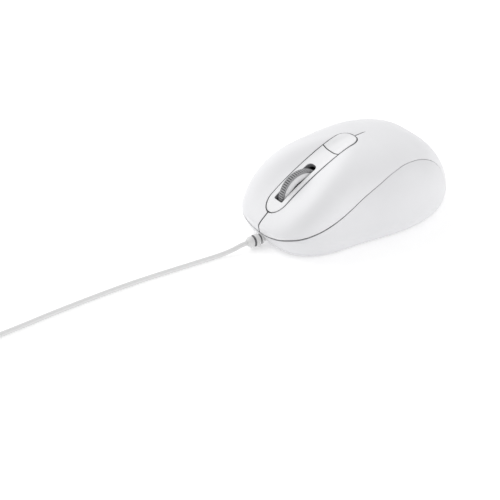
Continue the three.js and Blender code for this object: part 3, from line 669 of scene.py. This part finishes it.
SENSOR_Y, SENSOR_HALF, SENSOR_AHEAD, SENSOR_BEHIND, SENSOR_CORNER = 12, 4.2, 6.5, 4, 2
POST_Y, SCREW_WELL_RADIUS = 33, 2.9
WELL_LOW, WELL_HIGH, SCREW_WELL_MIDDLE, SCREW_WELL_DEPTH = -1, 4, 2, 6
applied(case, "BEVEL", width=0.2 * MM, segments=3, limit_method="ANGLE",
        angle_limit=math.radians(50), use_clamp_overlap=False)
cut(case, block("sensor_well", (-SENSOR_HALF, SENSOR_Y - SENSOR_AHEAD, WELL_LOW),
                (SENSOR_HALF, SENSOR_Y + SENSOR_BEHIND, WELL_HIGH), SENSOR_CORNER))
cut(case, primitive("cylinder", "screw_well", radius=SCREW_WELL_RADIUS * MM,
                    depth=SCREW_WELL_DEPTH * MM, vertices=64,
                    location=(0, POST_Y * MM, SCREW_WELL_MIDDLE * MM)))
settled(case)
applied(case, "WEIGHTED_NORMAL", keep_sharp=True)
# The case gets the darker painted-shade copy of the cover's white.
case.data.materials.append(CASE_SHADED_WHITE)
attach(case, "case")
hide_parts("lower_case")
print("case:", len(case.data.polygons), "faces")

# %% [markdown]
# ## The centre island
# The island is a separate, more polished moulding that stands a third of a millimetre proud of
# the cover. Its front part frames the wheel and its rear part is the speed key. Both are draped
# on the same skin, lifted a little, and get a wall and a rounded rim in the same way. The bezel's
# nose sits a little to one side in the cover's opening, so the gap is wide at one front corner.

# %% Wheel bezel and speed key
PROUD = -0.35
SPLIT_Y, SPLIT_GAP = -12.0, 0.15
SLOT_HALF, SLOT_FRONT, SLOT_REAR = 2.95, -41.5, -21.4
SHIFT_FROM, SHIFT_OVER = -38, 7
NOSE_SHIFT = np.array([0.3, -0.05, 0])


def run(points, counts):
    """Straight runs between points, each cut into its own number of steps."""
    parts = [np.linspace(a, b, n + 1)[:-1] for a, b, n in zip(points, points[1:], counts)]
    return np.concatenate([*parts, [points[-1]]])


def bend(centre, radius, first, last, steps):
    """Points of an arc in plan, its end left to what follows."""
    turn = np.radians(np.linspace(first, last, steps + 1)[:-1])
    return np.stack([centre[0] + radius * np.cos(turn), centre[1] + radius * np.sin(turn)], 1)


def slot_edge():
    """Half of the wheel's slot: nearly square at the front, round at the rear."""
    front, rear = 0.6, 2.2
    return np.concatenate([
        run([(0, SLOT_FRONT), (SLOT_HALF - front, SLOT_FRONT)], [12])[:-1],
        bend((SLOT_HALF - front, SLOT_FRONT + front), front, -90, 0, 8),
        run([(SLOT_HALF, SLOT_FRONT + front), (SLOT_HALF, SLOT_REAR - rear)], [30])[:-1],
        bend((SLOT_HALF - rear, SLOT_REAR - rear), rear, 0, 90, 14),
        run([(SLOT_HALF - rear, SLOT_REAR), (0, SLOT_REAR)], [8]),
    ])


def bezel_edge():
    half, nose = ISLAND_HALF, ISLAND_FRONT + ISLAND_HALF
    split = SPLIT_Y - SPLIT_GAP
    return np.concatenate([
        bend((0, nose), half, -90, 0, 20),
        run([(half, nose), (half, SLOT_REAR - 2.2), (half, split), (0, split)], [30, 14, 8]),
    ])


def lifted(x, y):
    return draped(x, y, PROUD)


def island_piece(name, inner, outer, rows, node_name, body):
    """Drapes, mirrors and thickens one part of the island, and rounds its rim."""
    obj = draped_grid(name, inner, outer, rows, lifted, tight=0.6)
    applied(obj, "MIRROR", use_axis=(True, False, False), merge_threshold=0.02 * MM)
    edit(obj, weld, outward)
    obj.data.materials.append(GLOSS)
    # The second finish paints the wall's inside and its rim dark, as painted shade in the gap round the
    # island.
    obj.data.materials.append(PAINTED_SHADE_INSIDE)
    applied(obj, "SOLIDIFY", thickness=2.4 * MM, offset=-1, use_even_offset=True,
            material_offset=1, material_offset_rim=1)
    applied(obj, "BEVEL", width=0.32 * MM, segments=4, limit_method="ANGLE",
            angle_limit=math.radians(50), use_clamp_overlap=False)
    settled(obj)
    applied(obj, "WEIGHTED_NORMAL", keep_sharp=True)
    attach(obj, body)
    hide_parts(node_name)
    print(name, len(obj.data.polygons), "faces")
    return obj


bezel = island_piece("wheel_frame", slot_edge(), bezel_edge(), 12, "wheel_bezel", "case")
seat = coordinates(bezel)
forward = np.clip((SHIFT_FROM * MM - seat[:, 1]) / (SHIFT_OVER * MM), 0, 1)[:, None]
reshape(bezel, seat + forward * NOSE_SHIFT * MM)

key_front = SPLIT_Y + SPLIT_GAP
key_rear = ISLAND_REAR - ISLAND_HALF
key_edge = np.concatenate([
    run([(0, key_front), (ISLAND_HALF, key_front), (ISLAND_HALF, key_rear)], [14, 16])[:-1],
    bend((0, key_rear), ISLAND_HALF, 0, 90, 24),
    [(0, ISLAND_REAR)],
])
spine = np.stack([np.zeros(len(key_edge)), np.linspace(key_front + 3, key_rear, len(key_edge))], 1)
island_piece("speed_key_cap", spine, key_edge, 14, "speed_button", "speed_key")

# %% [markdown]
# ## The wheel
# The wheel is a white hub with sloping flanks and a grey rubber tyre moulded round it. Both are
# turned shapes, so each starts as a circle of points that is moved to the profile and is spun
# about the axle. The tyre's ribs are made as a mould maker cuts them: every second strip of
# the tread is pushed in as a groove, and its faces are painted near-black as painted shade.

# %% Turning a profile
WHEEL_Y, WHEEL_Z, WHEEL_R, RIBS = -28.4, 20.2, 12.0, 64
TYRE_BED, TYRE_HALF, TREAD_CROWN = 10.9, 1.7, 0.05
TREAD_BAND, GROOVE_DEPTH = 0.4, 0.42


def turned(name, profile, steps, centre, axis):
    """A solid of revolution. The profile's points are (radius, place along the axis)."""
    obj = primitive("circle", name, vertices=len(profile), radius=1, fill_type="NOTHING")
    along = Vector(axis)
    out = Vector((0, 0, 1)) if abs(along.z) < 0.5 else Vector((1, 0, 0))
    middle = Vector(centre) * MM
    reshape(obj, [middle + (out * r + along * h) * MM for r, h in profile])

    def spin():
        bpy.ops.mesh.spin(steps=steps, angle=2 * math.pi, center=middle, axis=along)

    def tidy():
        bpy.ops.mesh.dissolve_degenerate(threshold=1e-7)

    return edit(obj, spin, weld, tidy, outward)


def rounded(corners, radius, steps=4):
    """A closed profile with each corner replaced by a short arc."""
    points = []
    corners = [Vector(c) for c in corners]
    for i, corner in enumerate(corners):
        back = corners[i - 1] - corner
        ahead = corners[(i + 1) % len(corners)] - corner
        if corner.x < 1e-6:
            points.append(tuple(corner))
            continue
        reach = min(radius, back.length * 0.45, ahead.length * 0.45)
        a, b = corner + back.normalized() * reach, corner + ahead.normalized() * reach
        for k in range(steps + 1):
            t = k / steps
            points.append(tuple(a * (1 - t) ** 2 + corner * 2 * t * (1 - t) + b * t * t))
    return points


# %% Hub and tyre
hub_half = [(0, 6.2), (1.2, 6.2), (1.2, 2.6), (3, 2.6), (3.6, 0.9), (8, 0.9), (8.3, 2.5),
            (9.7, 2.5), (11.15, 1.8), (10.4, 1.8)]
hub_profile = hub_half + [(r, -x) for r, x in reversed(hub_half)]
wheel_centre = (0, WHEEL_Y, WHEEL_Z)
hub = turned("wheel_core", rounded(hub_profile, 0.2, 2), 96, wheel_centre, (1, 0, 0))
settled(hub, 30)
hub.data.materials.append(GLOSS)
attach(hub, "wheel")
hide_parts("wheel_hub")

shoulder = WHEEL_R - TREAD_CROWN
tyre_profile = rounded([(TYRE_BED, TYRE_HALF), (shoulder, TYRE_HALF), (WHEEL_R, 0),
                        (shoulder, -TYRE_HALF), (TYRE_BED, -TYRE_HALF)], 0.45, 4)
tyre = turned("ribbed_tyre", tyre_profile, 2 * RIBS, wheel_centre, (1, 0, 0))
pitch = 2 * math.pi / (2 * RIBS)


def in_groove(face):
    """Every second strip of the tread."""
    y, z = face.center.y - WHEEL_Y * MM, face.center.z - WHEEL_Z * MM
    strip = int(math.floor(math.atan2(z, y) / pitch + 0.25))
    return strip % 2 == 0 and math.hypot(y, z) > (WHEEL_R - TREAD_BAND) * MM


tyre.data.materials.append(RUBBER)
tyre.data.materials.append(TYRE_GROOVE_SHADE)
# The groove faces get the near-black painted shade as well as being pushed in.
pick(tyre, faces=in_groove)
tyre.active_material_index = 1
bpy.ops.object.material_slot_assign()
bpy.ops.mesh.extrude_region_shrink_fatten(
    TRANSFORM_OT_shrink_fatten={"value": -GROOVE_DEPTH * MM, "use_even_offset": False})
done()
settled(tyre, 30)
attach(tyre, "wheel")
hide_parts("wheel_tyre")
print("wheel:", len(hub.data.polygons), "and", len(tyre.data.polygons), "faces")

# %% [markdown]
# ## Palm and finger skins
# The keys are fingers of the cover, not loose caps: the plastic itself flexes just ahead of the
# palm. So the finished cover is parted along an invisible line, where nothing moves. The palm
# stays with the case, and each finger is a separate piece cut off at its root. The corner
# normals are kept through the cut, so no line shows.

# %% Parting the cover
ROOT_Y = 8 * MM
corners = np.zeros(len(cover.data.loops) * 3)
cover.data.corner_normals.foreach_get("vector", corners)
kept = cover.data.attributes.new("kept_normal", "FLOAT_VECTOR", "CORNER")
kept.data.foreach_set("vector", corners)


def part(name, *planes):
    """A copy of the cover, cut by planes given as (place, normal) with the cut closed. The side
    that a normal points to is removed."""
    alone(cover)
    bpy.ops.object.duplicate()
    obj = bpy.context.object
    obj.name = name
    obj.data.name = name
    for place, normal in planes:
        edit(obj, lambda: bpy.ops.mesh.bisect(
            plane_co=place, plane_no=normal, use_fill=True, clear_outer=True, threshold=1e-7))
    normals = np.zeros(len(obj.data.loops) * 3)
    obj.data.attributes["kept_normal"].data.foreach_get("vector", normals)
    normals = normals.reshape(-1, 3)
    flat = np.linalg.norm(normals, axis=1) < 0.5
    normals[flat] = planes[0][1]
    obj.data.normals_split_custom_set(normals.tolist())
    obj.data.attributes.remove(obj.data.attributes["kept_normal"])
    print(name, len(obj.data.polygons), "faces")
    return obj


palm = part("palm_cover", ((0, ROOT_Y, 0), (0, -1, 0)))
left_key = part("left_key_skin", ((0, ROOT_Y, 0), (0, 1, 0)), ((0, 0, 0), (-1, 0, 0)))
right_key = part("right_key_skin", ((0, ROOT_Y, 0), (0, 1, 0)), ((0, 0, 0), (1, 0, 0)))
bpy.data.objects.remove(cover)
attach(palm, "case")
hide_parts("top_cover")
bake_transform(left_key)
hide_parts("left_button")
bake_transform(right_key)
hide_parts("right_button")

# %% [markdown]
# ## The cord's boot
# The boot is soft vinyl moulded straight on the cord. Its two deep grooves let it bend without
# kinking. It is one turned profile along the cord: a flange inside the case, the waist that the
# case grips, and three rings, the last of which tapers down to the cord.

# %% Boot
BOOT_Y, BOOT_Z = -46.4, 3.3
GROOVES_FROM, GROOVES_TO, GROOVE_REACH = 5.3, 9.6, 2.2
boot_profile = [
    (0, 0), (2.1, 0), (2.1, 1), (1.8, 1.1), (1.8, 4.1), (2.6, 4.3), (2.6, 5.3), (1.4, 5.45),
    (1.4, 6.15), (2.95, 6.3), (2.95, 7.25), (2.8, 7.4), (2.95, 7.55), (2.95, 8.5), (1.4, 8.65),
    (1.4, 9.4), (2.65, 9.55), (2.65, 10.9), (1.95, 12), (1.25, 12.6), (0, 12.6),
]
boot = turned("cord_boot", rounded(boot_profile, 0.22, 3), 64, (0, BOOT_Y, BOOT_Z), (0, -1, 0))
boot.data.materials.append(LEAD)
boot.data.materials.append(PAINTED_SHADE_INSIDE)


def boot_groove_shade(face):
    """Faces on the floor and the walls of the boot's two grooves, painted dark as painted shade."""
    reach = math.hypot(face.center.x, face.center.z - BOOT_Z * MM)
    along = BOOT_Y * MM - face.center.y
    return reach < GROOVE_REACH * MM and GROOVES_FROM * MM < along < GROOVES_TO * MM


# The grooves' floors and walls get the dark painted shade instead of the cord's pale vinyl.
pick(boot, faces=boot_groove_shade)
boot.active_material_index = 1
bpy.ops.object.material_slot_assign()
done()
settled(boot, 40)
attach(boot, "case")
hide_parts("strain_relief")
print("boot:", len(boot.data.polygons), "faces")

# %% [markdown]
# ## The plug
# The far end has the usual flat data plug: a ribbed relief, a soft grip with a shallow hollow on
# each broad face for the fingers, a folded nickel sleeve with two windows on each face, and inside
# it a tongue with four contacts. The grip is an outline that is extruded and bevelled. The hollows,
# the sleeve's bore and the windows are booleans, since each of them is a clean cut on the real
# plug too.

# %% Relief and grip
PLUG_X, PLUG_Y, PLUG_Z = -34, -238.6, 4.1
GRIP_X = PLUG_X - 10.3
relief_profile = [
    (0, 0), (1.7, 0), (1.9, 1.6), (1.4, 1.75), (1.4, 2.35), (2.2, 2.5), (2.2, 4.2), (1.45, 4.35),
    (1.45, 4.95), (2.5, 5.1), (2.5, 7), (1.6, 7.15), (1.6, 7.75), (2.8, 7.9), (2.8, 10), (0, 10),
]
relief = turned("plug_boot", rounded(relief_profile, 0.2, 3), 48, (PLUG_X, PLUG_Y, PLUG_Z),
                (-1, 0, 0))
settled(relief, 40)
relief.data.materials.append(LEAD)
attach(relief, "case")
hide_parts("plug_relief")


def slab(name, outline_points, low, high):
    """A flat outline in plan, in millimetres, filled and raised between two heights."""
    count = len(outline_points)
    obj = primitive("circle", name, vertices=count, radius=1, fill_type="NGON")
    reshape(obj, [Vector((x, y, low)) * MM for x, y in outline_points])

    def raise_it():
        bpy.ops.mesh.extrude_region_move(TRANSFORM_OT_translate={"value": (0, 0, (high - low) * MM)})

    return edit(obj, raise_it, lambda: bpy.ops.mesh.select_all(action="SELECT"), outward)


grip_half = np.concatenate([
    [(0, 4.2), (-1.6, 5.9), (-3.4, 7.2), (-6, 8)],
    bend((-19.8, 5.8), 2.2, 90, 180, 8),
])
grip_outline = [(GRIP_X + x, PLUG_Y + y) for x, y in grip_half]
grip_outline += [(GRIP_X + x, PLUG_Y - y) for x, y in grip_half[::-1]]
grip = slab("plug_handle", grip_outline, PLUG_Z - 4, PLUG_Z + 4)
for face in (-1, 1):
    z = PLUG_Z + face * 4.6
    cut(grip, block("hollow", (GRIP_X - 16.5, PLUG_Y - 4.6, z - 1), (GRIP_X - 6.5, PLUG_Y + 4.6, z + 1),
                    2.4, 6))
applied(grip, "BEVEL", width=0.35 * MM, segments=3, limit_method="ANGLE",
        angle_limit=math.radians(40), use_clamp_overlap=True)
settled(grip, 40)
grip.data.materials.append(LEAD)
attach(grip, "case")
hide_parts("plug_grip")

# %% Sleeve, tongue and contacts
METAL = moulded("nickel_plate", (0.66, 0.64, 0.60), 0.24, grain=900, depth=0.03, drift=0.02)
METAL.node_tree.nodes["Principled BSDF"].inputs["Metallic"].default_value = 1.0


def plug_block(name, low, high, radius=0.0):
    """A block placed from the middle of the plug's grip."""
    place = np.array([GRIP_X, PLUG_Y, PLUG_Z])
    return block(name, place + low, place + high, radius)


sleeve = plug_block("plug_sleeve", (-36, -6, -2.25), (-22.1, 6, 2.25))
cut(sleeve, plug_block("bore", (-37, -5.7, -1.95), (-23, 5.7, 1.95)))
for side in (-2.9, 2.9):
    cut(sleeve, plug_block("window", (-31.6, side - 1.1, -3), (-29.2, side + 1.1, 3)))
applied(sleeve, "BEVEL", width=0.08 * MM, segments=2, limit_method="ANGLE",
        angle_limit=math.radians(40), use_clamp_overlap=True)
settled(sleeve, 40)
sleeve.data.materials.append(METAL)
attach(sleeve, "case")
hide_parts("plug_shell")

TONGUE_WHITE = moulded("tongue_plastic", (0.68, 0.69, 0.70), 0.5)
tongue = plug_block("plug_tongue_body", (-35.2, -5.3, -0.2), (-23.2, 5.3, 1.6))
applied(tongue, "BEVEL", width=0.25 * MM, segments=3, limit_method="ANGLE",
        angle_limit=math.radians(40))
settled(tongue, 40)
tongue.data.materials.append(TONGUE_WHITE)
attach(tongue, "case")
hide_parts("plug_tongue")

strips = [plug_block("contact", (-34.6, y - 0.5, -0.32), (-25, y + 0.5, -0.15))
          for y in (-3.5, -1.2, 1.2, 3.5)]
alone(strips[0])
for strip in strips:
    strip.select_set(True)
bpy.ops.object.join()
contacts = bpy.context.object
contacts.name = "plug_contacts"
settled(contacts)
contacts.data.materials.append(METAL)
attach(contacts, "case")

# %% [markdown]
# ## Glide feet
# Three low curved pads of slippery sheet carry the mouse. On the real one they are die-cut and
# stuck into shallow places of the base, so each is an arc-shaped slab with a softly rounded edge.
# A plain strip that is bent would work as well, but an outline gives the round ends directly.

# %% Feet
GLIDE = moulded("slippery_sheet", (0.75, 0.75, 0.74), 0.35, grain=1800, depth=0.03)


def foot(name, centre, radius, half, first, last, node_name):
    """An arc-shaped pad with round ends. The angles are in degrees from +X."""
    middle = np.array(centre, float)

    def end(angle, start):
        turn = math.radians(angle)
        tip = middle + radius * np.array([math.cos(turn), math.sin(turn)])
        return bend(tip, half, start, start + 180, 14)

    points = np.concatenate([
        bend(middle, radius + half, first, last, 28), end(last, last),
        bend(middle, radius - half, last, first, 28), end(first, first + 180),
    ])
    obj = slab(name, points, 0, BASE_Z - 0.05)
    applied(obj, "BEVEL", width=0.2 * MM, segments=3, limit_method="ANGLE",
            angle_limit=math.radians(50))
    settled(obj, 40)
    obj.data.materials.append(GLIDE)
    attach(obj, "case")
    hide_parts(node_name)
    return obj


foot("left_glide", (0, -8), 28, 2.2, -68, -42, "front_foot_left")
foot("right_glide", (0, -8), 28, 2.2, -138, -112, "front_foot_right")
foot("rear_glide", (0, 14), 30, 2.6, 62, 118, "rear_foot")

# %% [markdown]
# ## Inside the mouse
# The frame's own inner parts stay as they are: board, switches, lamp, lens and screws are small
# catalogue shapes that only show through the slot or when the cover is off. Each still gets its
# own finish from the same function: plastic, lacquered board, clear plastic or plated steel.

# %% Finishes of the inner parts
def clear(name, colour):
    material = moulded(name, colour, 0.12, depth=0.01, drift=0.02)
    shader = material.node_tree.nodes["Principled BSDF"]
    shader.inputs["Transmission Weight"].default_value = 0.85
    shader.inputs["IOR"].default_value = 1.49
    return material


STEEL = moulded("zinc_plate", (0.60, 0.60, 0.62), 0.32, grain=1100, depth=0.05, drift=0.05)
STEEL.node_tree.nodes["Principled BSDF"].inputs["Metallic"].default_value = 1.0
BOARD = moulded("green_lacquer", (0.03, 0.16, 0.06), 0.3, grain=800, depth=0.06, drift=0.15)
RED = moulded("red_plunger", (0.50, 0.06, 0.05), 0.45)
CLEAR = clear("clear_plastic", (0.88, 0.92, 0.95))
TINTED = clear("tinted_epoxy", (0.70, 0.08, 0.06))
LABEL = moulded("silver_film", (0.68, 0.69, 0.70), 0.4, grain=2000, depth=0.02)
inside = {
    "wheel_carriage": INNER, "cable_header": INNER, "circuit_board": BOARD,
    "left_switch": BLACK, "right_switch": BLACK, "middle_switch": BLACK, "speed_switch": BLACK,
    "left_switch_plunger": RED, "right_switch_plunger": RED, "middle_switch_plunger": RED,
    "speed_switch_plunger": RED, "scroll_emitter": CLEAR, "scroll_receiver": BLACK,
    "sensor_chip": BLACK, "sensor_lens": CLEAR, "sensor_lamp": TINTED, "lamp_clip": BLACK,
    "controller_chip": BLACK, "crystal": STEEL, "capacitor": BLACK, "case_screw": STEEL,
    "board_screw_left": STEEL, "board_screw_right": STEEL, "base_label": LABEL,
}
for name, material in inside.items():
    mesh = nodes[name].data
    mesh.materials.clear()
    mesh.materials.append(material)
print("inner parts finished:", len(inside))

# %% [markdown]
# ## Floor and light
# A pale sheet, larger than the view, carries the mouse. A large soft box on the far side lights
# the keys and the island, a weaker one from the tail lifts the near flank, and the pale
# surroundings fill the rest, as in a light tent.

# %% Stage
floor = primitive("plane", "floor", size=6)
floor.data.materials.append(FLOOR)


def soft_box(name, place, target, size, watts):
    lamp = bpy.data.lights.new(name, "AREA")
    lamp.shape = "RECTANGLE"
    lamp.size, lamp.size_y = size
    lamp.energy = watts
    obj = bpy.data.objects.new(name, lamp)
    bpy.context.scene.collection.objects.link(obj)
    obj.location = place
    aim = Vector(target) - Vector(place)
    obj.rotation_mode = "QUATERNION"
    obj.rotation_quaternion = aim.to_track_quat("-Z", "Y")
    return obj


soft_box("far_side", (-1.0, -0.25, 0.85), (0, 0, 0), (1.4, 1.3), 8.5)
soft_box("tail_side", (0.9, 0.85, 0.55), (0, 0, 0.02), (0.7, 0.5), 3)

TENT_STRENGTH = 0.7
world = bpy.data.worlds.new("tent")
bpy.context.scene.world = world
world.use_nodes = True
world.node_tree.nodes["Background"].inputs["Color"].default_value = (1, 1, 1, 1)
world.node_tree.nodes["Background"].inputs["Strength"].default_value = TENT_STRENGTH
bpy.context.scene.view_settings.view_transform = "Standard"
